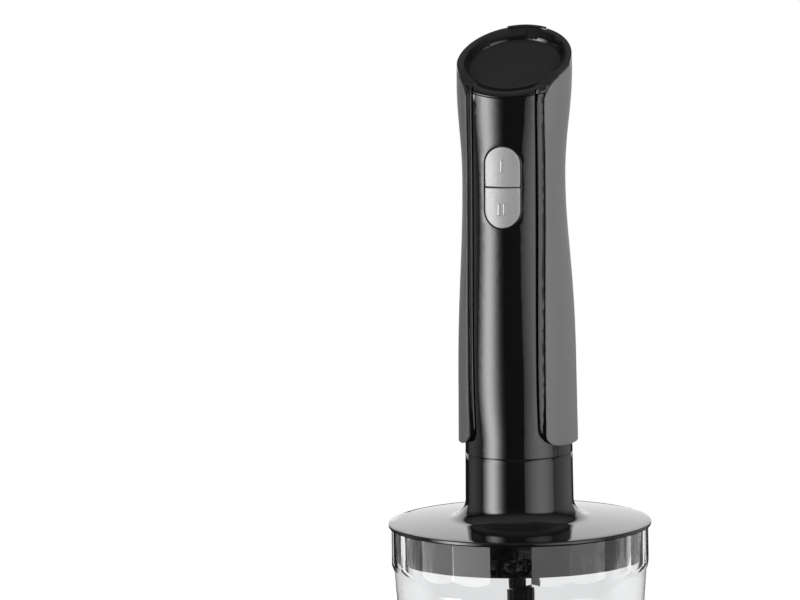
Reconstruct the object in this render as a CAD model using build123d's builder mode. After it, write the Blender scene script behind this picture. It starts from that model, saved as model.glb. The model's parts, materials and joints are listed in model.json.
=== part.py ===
from build123d import *
import os
from math import acos, cos, degrees, pi, radians, sin, sqrt, tan

os.makedirs("parts", exist_ok=True)

# Levels above the table
foot_height = 4.0
bowl_height = 84.0
lid_edge_thickness = 2.0
neck_height = 34.0
handle_length = 200.0
lid_edge_top = bowl_height + lid_edge_thickness
seam = lid_edge_top + neck_height

# Lid
lid_radius = 62.5
lid_edge_round = 0.7
lid_wall = 2.4
dome_rise = 2.6
dome_bulge = 0.3
neck_radius = 25.5
neck_draft = 0.3
neck_fillet = 9.0
neck_chamfer = 0.4
skirt_depth = 15.2
skirt_wall = 1.8
neck_wall = 2.9
spigot_depth = 22.0
spigot_clearance = 0.3
socket_gap = 0.5
key_width = 4.0
key_height = 1.0
key_clearance = 0.4
key_top_gap = 1.0
lid_ceiling_drop = 0.5

# Bowl
facet_count = 20
facet_turn = 1.5
rim_set_back = 1.1
bowl_wall_top = 1.7
bowl_wall = 2.2
skirt_clearance = 0.35
skirt_seat_gap = 2.0
scallop_top = 66.5
scallop_bottom = 62.5
scallop_taper = 0.7
bowl_shoulder_drop = 0.7
bowl_foot_radius = 56.0
bowl_floor = 3.0
bowl_corner = 8.0
foot_ring_outer = 46.5
foot_ring_inner = 39.0
foot_groove = 1.0
foot_ring_round = 1.0
spindle_radius = 3.0
spindle_height = 44.0
spindle_boss_radius = 8.0
spindle_boss_height = 4.0

# Blade
hub_radius = 6.5
hub_top = 56.0
hub_flute_count = 12
hub_flute_radius = 1.2
hub_collar_radius = 9.0
hub_collar_height = 2.0
running_clearance = 0.05
hex_flats = 9.3
hex_clearance = 0.2
hex_top = 75.0
socket_top = 76.0
bore_top_gap = 1.0
blade_thickness = 1.2
blade_reach = 46.0
blade_collar = 10.5
lower_blade_level = 15.0
upper_blade_level = 36.0
blade_tilt = 6.0
blade_bevel = 50.0
upper_blade_trim = 6.0
arm_root_gap = 1.0
arm_root_front = 8.0
arm_root_back = 7.0
arm_belly = 12.0
arm_belly_share = 0.6
arm_heel_share = 0.55
arm_tip_width = 3.0

# Gear set
gear_module = 1.0
sun_teeth = 12
planet_teeth = 15
planet_count = 3
ring_teeth = sun_teeth + 2 * planet_teeth
pressure_angle = 25.0
addendum = 0.8
dedendum = 1.1
backlash = 0.12
gear_height = 8.5
gear_bottom = 83.0
planet_pin_radius = 2.0
ring_gear_wall = 3.1
carrier_plate = 3.7
carrier_margin = 2.5
carrier_gap = 0.8
thrust_gap = 0.2
cover_boss_bottom = 65.0
cover_boss_top = 77.0
ring_gear_overhang = 0.5
gear_room = 1.5
sun_bore_radius = 2.5
pin_overhang = 0.5
bush_gap = 0.7
input_bush_height = 8.3
shaft_rise = 10.0
cover_clearance = 0.1
carrier_hub_radius = 8.5
carrier_hub_bottom = 62.0
output_bush_wall = 1.9
cover_boss_wall = 2.0
cover_thickness = 2.2
cover_level = 71.8
input_shaft_radius = 4.0
input_bush_wall = 1.6
input_tube_wall = 1.9
screw_circle = 42.0
screw_radius = 1.5
screw_head_radius = 3.2
screw_head_height = 1.5
screw_boss_radius = 4.0
screw_length = 9.0
screw_count = 4

# Drive coupling
star_lobes = 6
star_outer = 6.0
star_inner = 4.4
lobe_root_share = 0.32
lobe_tip_share = 0.16
star_height = 12.0
star_chamfer = 0.5
star_clearance = 0.25
coupler_radius = 9.0
coupler_gap = 0.5
coupler_cap = 4.0

# Handle skins: height over the seam, half width, front depth, back depth, forward shift of the widest line
grip_stations = [
    (0, 28.4, 28.2, 28.0, 1.2),
    (9, 28.4, 28.5, 27.8, 1.2),
    (26, 28.2, 28.8, 27.4, 1.2),
    (49, 27.95, 28.8, 27.1, 1.1),
    (72, 27.2, 28.5, 26.4, 0.9),
    (95, 25.9, 27.7, 24.4, 1.7),
    (118, 24.7, 26.8, 21.6, 3.2),
    (132, 24.5, 26.2, 21.3, 3.6),
    (147, 25.1, 25.5, 22.2, 3.3),
    (164, 26.7, 24.7, 24.6, 2.3),
    (176, 27.4, 24.0, 26.8, 0.9),
    (190, 27.4, 23.6, 28.2, 0.4),
    (212, 27.4, 23.4, 29.0, 0.2),
]
body_stations = [
    (0, neck_radius, neck_radius, neck_radius, 0.0),
    (6, neck_radius + 0.05, neck_radius + 0.1, neck_radius, 0.0),
    (13, neck_radius + 0.6, neck_radius + 0.8, neck_radius + 0.3, 0.5),
    (26, 27.1, 27.5, 26.5, 1.1),
    (49, 27.2, 28.1, 26.6, 1.1),
    (72, 26.5, 27.9, 26.0, 0.9),
    (95, 25.2, 27.1, 24.0, 1.7),
    (118, 24.0, 26.3, 21.2, 3.2),
    (132, 23.8, 25.8, 20.9, 3.6),
    (147, 24.5, 25.1, 21.8, 3.3),
    (164, 26.3, 24.4, 24.3, 2.3),
    (176, 27.1, 23.8, 26.6, 0.9),
    (190, 27.1, 23.5, 28.1, 0.4),
    (212, 27.1, 23.3, 28.9, 0.2),
]
station_span = 200.0
grip_thickness = 3.0
core_wall = 1.8
band_floor = 4.0

# Front cover, rails and grips, seen from the front
spine_half_width = 15.1
spine_gap = 0.8
rail_width = 2.7
grip_gap = 0.3
parting_gap = 0.25
flange_reach = 2.4
flare_radius = 7.0
flare_level = 14.0
foot_flare = 4.4
grip_bottom = 5.5
low_corner_share = 0.85
high_corner_share = 1.45
grip_back_step = 5.0
rear_spine_half_width = 9.5
grip_edge_round = 0.4
spine_edge_round = 0.5
rail_edge_round = 0.35

# Slanted top, its rim, dish and pad, measured back from the handle's full length
top_slope = 0.44
top_drop = 11.5
rim_thickness = 1.6
rim_width = 3.3
lip_drop = 26.0
lip_sag = 1.7
rim_round = 0.8
rim_fall_back = 5.0
rim_fall_front = 17.0
lip_round = 3.0
lip_groove_depth = 1.6
dish_depth = 3.5
pad_half_width = 21.6
pad_half_length = 22.4
pad_thickness = 1.4
cap_plug_depth = 6.5
plug_margin = 0.8
collar_margin = 0.5
plug_clearance = 0.15
tongue_rise = 0.5
tongue_thickness = lip_groove_depth
front_block_depth = 8.0
rail_end_depth = 4.0

# Buttons and switches
button_width = 17.0
button_height = 38.5
button_drop = 70.0
button_gap = 0.3
button_split = 0.5
button_proud = 0.4
button_edge_round = 0.4
button_back = 18.4
button_flange = 1.5
button_flange_reach = 1.2
plunger_radius = 1.5
plunger_length = 2.5
plunger_clearance = 0.3
switch_width = 9.0
switch_length = 10.0
switch_depth = 4.8
board_front = 9.8
board_thickness = 1.6
board_width = 17.0
board_length = 44.0
board_corner = 2.0
post_radius = 2.5
post_spacing = 34.0

# Cord gland in the back of the handle
gland_drop = 35.0
gland_radius = 6.0
gland_bore_radius = 3.7
gland_inner = 16.0
gland_outer = 28.0
gland_round = 1.0

# Motor
shaft_radius = 2.5
shaft_top = 100.0
bearing_height = 5.0
lower_bearing_radius = 8.0
upper_bearing_radius = 7.0
mount_level = 8.0
mount_plate = 3.0
mount_radius = 21.6
bearing_cup_wall = 2.0
mount_lip_radius = 5.0
mount_lip = 1.0
vent_radius = 3.0
vent_circle = 15.5
vent_count = 6
stator_level = 36.0
stator_height = 29.0
stator_radius = 20.7
stator_bore = 11.4
stator_ring_inner = 17.6
pole_width = 14.0
coil_half_width = 10.0
coil_inner = 11.7
coil_outer = 14.0
coil_overhang = 4.0
coil_round = 3.0
damper_height = 3.0
damper_inset = 3.0
armature_radius = 11.0
armature_slots = 10
slot_width = 3.0
slot_inner = 6.5
winding_radius = 10.2
winding_overhang = 6.5
commutator_radius = 8.0
commutator_level = 80.0
commutator_height = 11.0
commutator_bars = 20
commutator_slit = 0.5
commutator_slit_depth = 0.8
fan_level = 18.0
fan_radius = 19.0
fan_hub = 6.0
fan_plate = 1.5
fan_height = 7.0
fan_blades = 9
fan_blade_width = 1.4
fan_blade_lean = 20.0
bracket_level = 78.0
bracket_plate = 3.0
bracket_radius = 18.4
bracket_hole = 9.5
bracket_leg_inner = 17.7
bracket_leg_width = 9.0
brush_box_width = 8.0
brush_box_height = 8.0
brush_box_end = 17.0
brush_width = 5.0
brush_height = 5.0
brush_gap = 0.3
brush_end = 14.0
upper_bearing_level = 94.0
bridge_half_length = 14.0
bridge_width = 8.0
bridge_post = 4.0
seal_radius = 6.0
seal_level = 1.0
seal_height = 3.0
seal_clearance = 0.3
spigot_wall = 3.0
spigot_plate = 3.0
shaft_bottom = -6.0

# Derived sizes
stretch = handle_length / station_span
top_level = handle_length - top_drop
slope_angle = degrees(acos(1 / sqrt(1 + top_slope ** 2)))
rim_plane = Plane(
    origin=(0, 0, seam + top_level),
    x_dir=(1, 0, 0),
    z_dir=(0, -sin(radians(slope_angle)), cos(radians(slope_angle))),
)
pad_plane = rim_plane.offset(-dish_depth)
slope = cos(radians(slope_angle))
dish_half_width = grip_stations[-2][1] - rim_width
dish_half_length = (grip_stations[-2][3] - rim_width) / slope
lip_level = handle_length - lip_drop
button_level = handle_length - button_drop
gland_level = handle_length - gland_drop
foot_half_width = spine_half_width + foot_flare
grip_front = spine_half_width + spine_gap + rail_width + grip_gap
grip_rear = rear_spine_half_width + grip_gap
grip_low_corner = low_corner_share * (grip_stations[0][1] - grip_thickness - grip_front)
grip_high_corner = high_corner_share * (grip_stations[-2][1] - grip_thickness - grip_front)
facet_corner = lid_radius - rim_set_back
facet_flat = facet_corner * cos(pi / facet_count)
bowl_inner = facet_flat - bowl_wall_top
skirt_radius = bowl_inner - skirt_clearance
skirt_bottom = bowl_height - skirt_depth
spigot_radius = neck_radius - neck_wall - spigot_clearance
spigot_bottom = seam - spigot_depth
socket_level = spigot_bottom - socket_gap
gear_top = gear_bottom + gear_height
planet_centre = gear_module * (sun_teeth + planet_teeth) / 2
carrier_radius = planet_centre + planet_pin_radius + carrier_margin
ring_pitch = gear_module * ring_teeth / 2
ring_gear_outer = ring_pitch + dedendum * gear_module + ring_gear_wall
cover_top = cover_level + cover_thickness
far = 100.0
cut_run_out = 1.0
edge_tolerance = 0.001


# Solid handle outline, drawn in all round by inset and cut off below low
def skin(stations, inset, low=0.0):
    with BuildPart() as solid:
        for height, half_width, front, back, forward in stations:
            with BuildSketch(Plane.XY.offset(seam + height * stretch)):
                with BuildLine():
                    middle = (0, -forward)
                    reach = half_width - inset
                    EllipticalCenterArc(middle, reach, front - forward - inset, 180, arc_size=180)
                    EllipticalCenterArc(middle, reach, back + forward - inset, 0, arc_size=180)
                make_face()
        loft()
        if low > 0:
            split(bisect_by=Plane.XY.offset(seam + low), keep=Keep.TOP)
    return solid.part


# Edges where a part's walls come out at the outside of a skin
def outer_edges(part, shell):
    walls = part.faces().filter_by(lambda face: face.geom_type in (GeomType.PLANE, GeomType.CYLINDER))
    return walls.edges().filter_by(
        lambda edge: all(shell.distance_to(edge @ share) < edge_tolerance for share in (0.1, 0.5, 0.9))
    )


# Block of the front cover's outline, running forward from the handle's axis
def front_window(half_width, foot_width, top):
    flare_centre = spine_half_width + flare_radius
    bend = flare_centre - half_width
    turn = degrees(acos((flare_centre - foot_width) / bend))
    with BuildPart() as block:
        with BuildSketch(Plane.XZ):
            with BuildLine():
                right = CenterArc((flare_centre, seam + flare_level), bend, 180, turn)
                Line(right @ 0, (half_width, seam + top))
                Line(right @ 1, (foot_width, seam - cut_run_out))
                Line((foot_width, seam - cut_run_out), (0, seam - cut_run_out))
                mirror(about=Plane.YZ)
                ThreePointArc(
                    (half_width, seam + top),
                    (0, seam + top - lip_sag),
                    (-half_width, seam + top),
                )
            make_face()
        extrude(amount=far)
    return block.part


# Block that the right grip is cut with, grown by gap on every side
def grip_block(gap):
    inner = grip_front - gap
    rear = grip_rear - gap
    low = seam + grip_bottom - gap
    with BuildPart() as block:
        with BuildSketch(Plane.XY.offset(low)):
            with BuildLine():
                Polyline(
                    (inner, -far),
                    (far, -far),
                    (far, far),
                    (rear, far),
                    (rear, grip_back_step),
                    (inner, -grip_back_step),
                    close=True,
                )
            make_face()
        extrude(amount=handle_length + far)
        split(bisect_by=rim_plane.offset(gap - rim_thickness - grip_gap), keep=Keep.BOTTOM)
        with BuildSketch(Plane.XZ):
            with Locations((inner, low)):
                Rectangle(grip_low_corner, grip_low_corner, align=Align.MIN)
            with Locations((inner + grip_low_corner, low + grip_low_corner)):
                Circle(grip_low_corner, mode=Mode.SUBTRACT)
        extrude(amount=far, mode=Mode.SUBTRACT)
        inner_walls = block.faces().filter_by(lambda face: face.normal_at().X < -0.999)
        front_wall = inner_walls.sort_by(Axis.Y)[0]
        high_edge = front_wall.edges().sort_by(Axis.Z)[-1]
        fillet(high_edge, grip_high_corner)
    return block.part


grip_skin = skin(grip_stations, 0)
body_skin = skin(body_stations, 0)
core_skin = skin(grip_stations, grip_thickness)
cavity = skin(grip_stations, grip_thickness + core_wall, band_floor)
tongue_skin = skin(body_stations, tongue_thickness)
button_skin = skin(body_stations, -button_proud)
cover_window = front_window(spine_half_width, foot_half_width, lip_level)
cap_window = front_window(spine_half_width + spine_gap, foot_half_width, lip_level + parting_gap)
flange_window = front_window(spine_half_width + flange_reach, foot_half_width + flange_reach, lip_level)
flange_room = front_window(
    spine_half_width + flange_reach + parting_gap,
    foot_half_width + flange_reach + parting_gap,
    handle_length,
)
housing_window = front_window(spine_half_width + spine_gap, foot_half_width + parting_gap, handle_length)
right_grip_block = grip_block(0)
right_pocket = grip_block(grip_gap)
left_pocket = right_pocket.mirror(Plane.YZ)
grip_shell = grip_skin.shell()
body_shell = body_skin.shell()
button_shell = button_skin.shell()


# Angle on an involute at a radius
def involute(base, radius):
    lean = acos(min(1.0, base / radius))
    return tan(lean) - lean


# Closed run of involute teeth; half_pitch is half a tooth's angle at the pitch circle
def draw_teeth(teeth, pitch, root, tip, half_pitch, turn):
    base = pitch * cos(radians(pressure_angle))
    start = max(root, base)
    middle = (start + tip) / 2

    def at(radius, angle):
        return radius * cos(angle), radius * sin(angle)

    def half(radius):
        return half_pitch + involute(base, pitch) - involute(base, radius)

    for tooth in range(teeth):
        centre = turn + 2 * pi * tooth / teeth
        following = centre + 2 * pi / teeth
        if root < base:
            Line(at(root, centre - half(start)), at(start, centre - half(start)))
            Line(at(start, centre + half(start)), at(root, centre + half(start)))
        for side in (-1, 1):
            ThreePointArc(
                at(start, centre + side * half(start)),
                at(middle, centre + side * half(middle)),
                at(tip, centre + side * half(tip)),
            )
        ThreePointArc(at(tip, centre - half(tip)), at(tip, centre), at(tip, centre + half(tip)))
        ThreePointArc(
            at(root, centre + half(start)),
            at(root, centre + pi / teeth),
            at(root, following - half(start)),
        )


# Closed star outline with flat-topped lobes
def draw_star(outer, inner):
    step = 2 * pi / star_lobes
    corners = []
    for lobe in range(star_lobes):
        for radius, share in (
            (inner, -lobe_root_share),
            (outer, -lobe_tip_share),
            (outer, lobe_tip_share),
            (inner, lobe_root_share),
        ):
            angle = (lobe + share) * step
            corners.append((radius * cos(angle), radius * sin(angle)))
    Polyline(*corners, close=True)


# Bowl with a faceted upper band
with BuildPart() as bowl:
    with BuildSketch(Plane.XZ):
        with BuildLine():
            Polyline(
                (0, foot_height),
                (bowl_foot_radius, foot_height),
                (facet_flat - scallop_taper, scallop_bottom),
                (facet_corner, scallop_top),
                (facet_corner, bowl_height),
                (bowl_inner, bowl_height),
                (bowl_inner, skirt_bottom - skirt_seat_gap),
                (facet_flat - bowl_shoulder_drop - bowl_wall, scallop_bottom),
                (bowl_foot_radius - bowl_wall, foot_height + bowl_floor),
                (0, foot_height + bowl_floor),
                close=True,
            )
        make_face()
    revolve(axis=Axis.Z)
    rings = bowl.edges().filter_by(GeomType.CIRCLE)
    outer_corner = rings.group_by(Axis.Z)[0].sort_by(SortBy.RADIUS)[-1]
    inner_corner = rings.group_by(Axis.Z)[1].sort_by(SortBy.RADIUS)[-1]
    fillet(outer_corner, bowl_corner)
    fillet(inner_corner, bowl_corner - bowl_wall)
    with BuildSketch(Plane.XY):
        RegularPolygon(facet_corner, facet_count, rotation=facet_turn)
    extrude(amount=bowl_height, mode=Mode.INTERSECT)
    with BuildSketch(Plane.XY.offset(foot_height + bowl_floor)):
        Circle(spindle_boss_radius)
        Circle(spindle_radius, mode=Mode.SUBTRACT)
    extrude(amount=spindle_boss_height)
    with BuildSketch(Plane.XY.offset(foot_height)):
        Circle(foot_ring_outer)
        Circle(foot_ring_inner, mode=Mode.SUBTRACT)
    extrude(amount=foot_groove, mode=Mode.SUBTRACT)
bowl.part.label = "bowl"
export_step(bowl.part, "parts/bowl.step")

with BuildPart() as foot_ring:
    with BuildSketch(Plane.XY):
        Circle(foot_ring_outer)
        Circle(foot_ring_inner, mode=Mode.SUBTRACT)
    extrude(amount=foot_height + foot_groove)
    fillet(foot_ring.edges().group_by(Axis.Z)[0], foot_ring_round)
foot_ring.part.label = "foot_ring"
export_step(foot_ring.part, "parts/foot_ring.step")

pin_bottom = foot_height + bowl_floor
pin_top = pin_bottom + spindle_height
with BuildPart() as spindle_pin:
    with BuildSketch(Plane.XY.offset(pin_bottom)):
        Circle(spindle_radius)
    extrude(amount=spindle_height)
    fillet(spindle_pin.edges().group_by(Axis.Z)[-1], spindle_radius / 2)
spindle_pin.part.label = "spindle_pin"
export_step(spindle_pin.part, "parts/spindle_pin.step")

# Blade
hub_bottom = pin_bottom + spindle_boss_height
with BuildPart() as blade_hub:
    with BuildSketch(Plane.XY.offset(hub_bottom)):
        Circle(hub_radius)
        with PolarLocations(hub_radius + hub_flute_radius / 2, hub_flute_count):
            Circle(hub_flute_radius, mode=Mode.SUBTRACT)
    extrude(amount=hub_top - hub_bottom)
    with BuildSketch(Plane.XY.offset(hub_bottom)):
        Circle(hub_collar_radius)
    extrude(amount=lower_blade_level - hub_bottom)
    for level in (
        lower_blade_level + blade_thickness,
        upper_blade_level - hub_collar_height,
        upper_blade_level + blade_thickness,
    ):
        with BuildSketch(Plane.XY.offset(level)):
            Circle(hub_collar_radius)
        extrude(amount=hub_collar_height)
    for level in (lower_blade_level, upper_blade_level):
        with BuildSketch(Plane.XY.offset(level)):
            Circle(hub_radius)
        extrude(amount=blade_thickness)
    with BuildSketch(Plane.XY.offset(hub_top)):
        RegularPolygon(hex_flats / 2, 6, major_radius=False)
    extrude(amount=hex_top - hub_top)
    with BuildSketch(Plane.XY.offset(hub_bottom)):
        Circle(spindle_radius + running_clearance)
    extrude(amount=pin_top + bore_top_gap - hub_bottom, mode=Mode.SUBTRACT)
blade_hub.part.label = "blade_hub"
export_step(blade_hub.part, "parts/blade_hub.step")


# Two-armed sickle blade on a flat collar, its arms bent up by tilt degrees
def sickle(level, reach, tilt):
    root = hub_radius + arm_root_gap
    tip = (reach, -arm_tip_width / 2)
    heel = (reach - arm_tip_width, arm_tip_width / 2)
    with BuildPart() as blade:
        for side in (0, 180):
            with BuildSketch(Plane.XY.offset(level).rotated((0, -tilt, side))):
                with BuildLine():
                    ThreePointArc((root, -arm_root_front), (reach * arm_belly_share, -arm_belly), tip)
                    Line(tip, heel)
                    ThreePointArc(heel, (reach * arm_heel_share, 0), (root, arm_root_back))
                    Line((root, arm_root_back), (root, -arm_root_front))
                make_face()
            extrude(amount=blade_thickness, taper=blade_bevel)
        with BuildSketch(Plane.XY.offset(level)):
            Circle(blade_collar)
        extrude(amount=blade_thickness)
        with BuildSketch(Plane.XY.offset(level - far / 2)):
            Circle(hub_collar_radius)
        extrude(amount=far / 2, mode=Mode.SUBTRACT)
        with BuildSketch(Plane.XY.offset(level + blade_thickness)):
            Circle(hub_collar_radius)
        extrude(amount=far / 2, mode=Mode.SUBTRACT)
        with BuildSketch(Plane.XY.offset(level)):
            Circle(hub_radius)
        extrude(amount=blade_thickness, mode=Mode.SUBTRACT)
    return blade.part


with BuildPart() as lower_blade:
    add(sickle(lower_blade_level, blade_reach, 0))
lower_blade.part.label = "lower_blade"
export_step(lower_blade.part, "parts/lower_blade.step")

with BuildPart() as upper_blade:
    add(sickle(upper_blade_level, blade_reach - upper_blade_trim, blade_tilt))
upper_blade.part.label = "upper_blade"
export_step(upper_blade.part, "parts/upper_blade.step")

# Lid shell: neck, dome, skirt, gear pot and coupling socket in one turned profile
socket_radius = spigot_radius + spigot_clearance
tube_radius = input_shaft_radius + running_clearance + input_bush_wall
tube_outer = tube_radius + input_tube_wall
gear_ceiling = gear_top + gear_room
neck_foot = neck_radius + neck_draft
pot_outer = ring_gear_outer + skirt_wall
ceiling_rim = skirt_radius - skirt_wall
ceiling_low = bowl_height - lid_ceiling_drop
ceiling_high = lid_edge_top + dome_rise - lid_wall
boss_share = (ceiling_rim - screw_circle + screw_boss_radius) / (ceiling_rim - pot_outer)
screw_boss_top = ceiling_low + boss_share * (ceiling_high - ceiling_low) + lid_wall / 4
bush_bottom = gear_top + bush_gap
bush_top = bush_bottom + input_bush_height
with BuildPart() as lid_shell:
    with BuildSketch(Plane.XZ):
        with BuildLine():
            Polyline(
                (lid_radius, lid_edge_top),
                (lid_radius, bowl_height),
                (skirt_radius, bowl_height),
                (skirt_radius, skirt_bottom),
                (ceiling_rim, skirt_bottom),
                (ceiling_rim, ceiling_low),
                (pot_outer, ceiling_high),
                (pot_outer, cover_top),
                (ring_gear_outer, cover_top),
                (ring_gear_outer, gear_ceiling),
                (tube_outer, gear_ceiling),
                (tube_outer, bush_bottom),
                (tube_radius, bush_bottom),
                (tube_radius, bush_top),
                (tube_outer, bush_top),
                (tube_outer, socket_level),
                (socket_radius, socket_level),
                (socket_radius, seam),
                (neck_radius - neck_chamfer, seam),
                (neck_radius, seam - neck_chamfer),
                (neck_foot, lid_edge_top + dome_rise),
            )
            ThreePointArc(
                (neck_foot, lid_edge_top + dome_rise),
                ((neck_foot + lid_radius) / 2, lid_edge_top + dome_rise / 2 + dome_bulge),
                (lid_radius, lid_edge_top),
            )
        make_face()
    revolve(axis=Axis.Z)
    rings = lid_shell.edges().filter_by(GeomType.CIRCLE)
    edge_rings = rings.filter_by(lambda ring: abs(ring.radius - lid_radius) < 0.01)
    fillet(edge_rings, lid_edge_round)
    foot_level = lid_edge_top + dome_rise
    foot_rings = lid_shell.edges().filter_by(GeomType.CIRCLE)
    neck_ring = foot_rings.filter_by(
        lambda ring: abs(ring.radius - neck_foot) < 0.01 and abs(ring.center().Z - foot_level) < 0.01
    )
    fillet(neck_ring, neck_fillet)
    with BuildSketch(Plane.XY.offset(cover_top)):
        with PolarLocations(screw_circle, screw_count, start_angle=45):
            Circle(screw_boss_radius)
    extrude(amount=screw_boss_top - cover_top)
    with BuildSketch(Plane.XY.offset(cover_top)):
        with PolarLocations(screw_circle, screw_count, start_angle=45):
            Circle(screw_radius)
    extrude(amount=screw_length - cover_thickness, mode=Mode.SUBTRACT)
    with BuildSketch(Plane.XY.offset(socket_level)):
        Rectangle(2 * (spigot_radius + key_height + key_clearance), key_width + 2 * key_clearance)
        Circle(spigot_radius, mode=Mode.SUBTRACT)
    extrude(amount=seam - socket_level, mode=Mode.SUBTRACT)
lid_shell.part.label = "lid_shell"
export_step(lid_shell.part, "parts/lid_shell.step")

# Gear cover closing the lid from below, with a boss for the output bush
output_bore = carrier_hub_radius + running_clearance
output_bush_outer = output_bore + output_bush_wall
cover_boss_radius = output_bush_outer + cover_boss_wall
with BuildPart() as gear_cover:
    with BuildSketch(Plane.XY.offset(cover_level)):
        Circle(ceiling_rim - cover_clearance)
        with PolarLocations(screw_circle, screw_count, start_angle=45):
            Circle(screw_radius, mode=Mode.SUBTRACT)
    extrude(amount=cover_thickness)
    with BuildSketch(Plane.XY.offset(cover_boss_bottom)):
        Circle(cover_boss_radius)
    extrude(amount=cover_boss_top - cover_boss_bottom)
    with BuildSketch(Plane.XY.offset(cover_boss_bottom)):
        Circle(output_bush_outer)
    extrude(amount=cover_boss_top - cover_boss_bottom, mode=Mode.SUBTRACT)
gear_cover.part.label = "gear_cover"
export_step(gear_cover.part, "parts/gear_cover.step")

with BuildPart() as cover_screws:
    with BuildSketch(Plane.XY.offset(cover_level - screw_head_height)):
        with PolarLocations(screw_circle, screw_count, start_angle=45):
            Circle(screw_head_radius)
    extrude(amount=screw_head_height)
    with BuildSketch(Plane.XY.offset(cover_level)):
        with PolarLocations(screw_circle, screw_count, start_angle=45):
            Circle(screw_radius)
    extrude(amount=screw_length)
cover_screws.part.label = "cover_screws"
export_step(cover_screws.part, "parts/cover_screws.step")

carrier_top = gear_bottom - carrier_gap
carrier_bottom = carrier_top - carrier_plate
with BuildPart() as output_bush:
    with BuildSketch(Plane.XY.offset(cover_boss_bottom)):
        Circle(output_bush_outer)
    extrude(amount=cover_boss_top - cover_boss_bottom)
    with BuildSketch(Plane.XY.offset(cover_boss_top)):
        Circle(cover_boss_radius)
    extrude(amount=carrier_bottom - thrust_gap - cover_boss_top)
    with BuildSketch(Plane.XY.offset(cover_boss_bottom)):
        Circle(output_bore)
    extrude(amount=carrier_bottom - cover_boss_bottom, mode=Mode.SUBTRACT)
output_bush.part.label = "output_bush"
export_step(output_bush.part, "parts/output_bush.step")

with BuildPart() as input_bush:
    with BuildSketch(Plane.XY.offset(bush_bottom)):
        Circle(tube_radius)
        Circle(input_shaft_radius + running_clearance, mode=Mode.SUBTRACT)
    extrude(amount=input_bush_height)
input_bush.part.label = "input_bush"
export_step(input_bush.part, "parts/input_bush.step")

# Ring gear fixed in the lid's pot
with BuildPart() as ring_gear:
    with BuildSketch(Plane.XY.offset(gear_bottom - ring_gear_overhang)):
        Circle(ring_gear_outer)
        with BuildLine():
            draw_teeth(
                ring_teeth,
                ring_pitch,
                ring_pitch - addendum * gear_module,
                ring_pitch + dedendum * gear_module,
                (pi * gear_module / 2 + backlash) / 2 / ring_pitch,
                0,
            )
        make_face(mode=Mode.SUBTRACT)
    extrude(amount=gear_height + 2 * ring_gear_overhang)
ring_gear.part.label = "ring_gear"
export_step(ring_gear.part, "parts/ring_gear.step")

# Sun gear and the coupling that drives it
sun_pitch = gear_module * sun_teeth / 2
with BuildPart() as sun_gear:
    with BuildSketch(Plane.XY.offset(gear_bottom)):
        with BuildLine():
            draw_teeth(
                sun_teeth,
                sun_pitch,
                sun_pitch - dedendum * gear_module,
                sun_pitch + addendum * gear_module,
                (pi * gear_module / 2 - backlash) / 2 / sun_pitch,
                0,
            )
        make_face()
        Circle(sun_bore_radius, mode=Mode.SUBTRACT)
    extrude(amount=gear_height)
sun_gear.part.label = "sun_gear"
export_step(sun_gear.part, "parts/sun_gear.step")

star_bottom = gear_top + shaft_rise
with BuildPart() as input_coupling:
    with BuildSketch(Plane.XY.offset(gear_bottom)):
        Circle(sun_bore_radius)
    extrude(amount=gear_height)
    with BuildSketch(Plane.XY.offset(gear_top)):
        Circle(input_shaft_radius)
    extrude(amount=shaft_rise)
    with BuildSketch(Plane.XY.offset(star_bottom)):
        with BuildLine():
            draw_star(star_outer, star_inner)
        make_face()
    extrude(amount=star_height)
    chamfer(input_coupling.faces().sort_by(Axis.Z)[-1].edges(), star_chamfer)
input_coupling.part.label = "input_coupling"
export_step(input_coupling.part, "parts/input_coupling.step")

# Planet carrier with the blade's hexagonal socket
with BuildPart() as planet_carrier:
    with BuildSketch(Plane.XY.offset(carrier_bottom)):
        Circle(carrier_radius)
        with PolarLocations(planet_centre, planet_count):
            Circle(planet_pin_radius, mode=Mode.SUBTRACT)
    extrude(amount=carrier_plate)
    with BuildSketch(Plane.XY.offset(carrier_hub_bottom)):
        Circle(carrier_hub_radius)
    extrude(amount=carrier_bottom - carrier_hub_bottom)
    with BuildSketch(Plane.XY.offset(carrier_hub_bottom)):
        RegularPolygon(hex_flats / 2 + hex_clearance, 6, major_radius=False)
    extrude(amount=socket_top - carrier_hub_bottom, mode=Mode.SUBTRACT)
planet_carrier.part.label = "planet_carrier"
export_step(planet_carrier.part, "parts/planet_carrier.step")

with BuildPart() as planet_pins:
    with BuildSketch(Plane.XY.offset(carrier_bottom)):
        with PolarLocations(planet_centre, planet_count):
            Circle(planet_pin_radius)
    extrude(amount=gear_top + pin_overhang - carrier_bottom)
planet_pins.part.label = "planet_pins"
export_step(planet_pins.part, "parts/planet_pins.step")

# Planet gears, each with a tooth towards the ring at rest
planet_pitch = gear_module * planet_teeth / 2
for number in range(planet_count):
    place = 2 * pi * number / planet_count
    middle = (planet_centre * cos(place), planet_centre * sin(place), gear_bottom)
    with BuildPart() as planet_gear:
        with BuildSketch(Plane(origin=middle)):
            with BuildLine():
                draw_teeth(
                    planet_teeth,
                    planet_pitch,
                    planet_pitch - dedendum * gear_module,
                    planet_pitch + addendum * gear_module,
                    (pi * gear_module / 2 - backlash) / 2 / planet_pitch,
                    place,
                )
            make_face()
            Circle(planet_pin_radius + running_clearance, mode=Mode.SUBTRACT)
        extrude(amount=gear_height)
    planet_gear.part.label = f"planet_gear_{number + 1}"
    export_step(planet_gear.part, f"parts/planet_gear_{number + 1}.step")

# Front cover: the spine, its hidden flange and the button slot
with BuildPart() as cover_flange:
    add(core_skin)
    add(cavity, mode=Mode.SUBTRACT)
    add(flange_window, mode=Mode.INTERSECT)

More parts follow.
